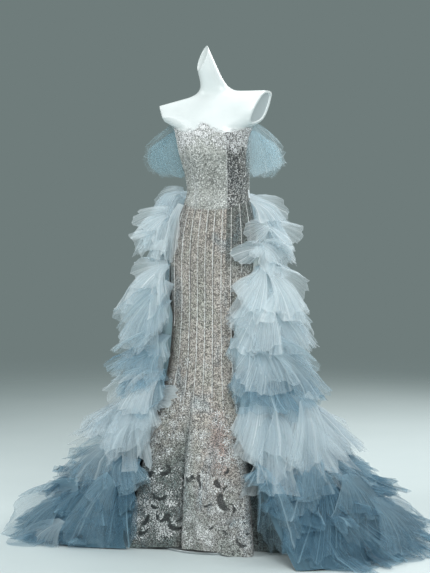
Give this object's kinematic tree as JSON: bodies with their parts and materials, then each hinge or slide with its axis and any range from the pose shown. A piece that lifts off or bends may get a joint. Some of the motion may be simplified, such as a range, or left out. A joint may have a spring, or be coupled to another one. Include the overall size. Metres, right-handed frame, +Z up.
{
  "type": "fishtail gown on a dress form",
  "caption": "Strapless beaded fishtail gown with a tiered tulle train and off-arm puffs, worn by a limbless dress form on a round stand.",
  "frame": {"origin": "centre of the stand base's underside, on the floor", "axes": "+Z up, -Y the way the gown faces, +X the wearer's left"},
  "size_m": [1.3736, 1.0956, 1.5698],
  "materials": {
    "form_shell": "smooth satin white shell",
    "stand_metal": "brushed steel",
    "beaded_bodice": "silver-taupe fabric covered in small beads",
    "beaded_lace": "beaded lace over a taupe ground",
    "zip_tape": "matt woven tape",
    "pale_tulle": "crisp sheer tulle, pale blue",
    "mid_tulle": "crisp sheer tulle, grey blue",
    "deep_tulle": "crisp sheer tulle, deep teal blue"
  },
  "bodies": {
    "root": {"stand_base": "stand_metal", "stand_pole": "stand_metal", "form_socket": "stand_metal", "form_torso": "form_shell", "bodice_front": "beaded_bodice", "bodice_side_left": "beaded_bodice", "bodice_side_right": "beaded_bodice", "bodice_back_left": "beaded_bodice", "bodice_back_right": "beaded_bodice", "back_zip": "zip_tape", "skirt_front": "beaded_lace", "skirt_side_left": "beaded_lace", "skirt_side_right": "beaded_lace", "skirt_back_left": "beaded_lace", "skirt_back_right": "beaded_lace", "train_waistband": "pale_tulle", "train_left": "mid_tulle", "train_right": "mid_tulle", "ruffle_01": "pale_tulle", "ruffle_02": "pale_tulle", "ruffle_03": "pale_tulle", "ruffle_04": "pale_tulle", "ruffle_05": "pale_tulle", "ruffle_06": "pale_tulle", "ruffle_07": "mid_tulle", "ruffle_08": "pale_tulle", "ruffle_09": "mid_tulle", "ruffle_10": "deep_tulle", "ruffle_11": "deep_tulle", "sleeve_left": "mid_tulle", "sleeve_right": "mid_tulle"}
  },
  "joints": []
}
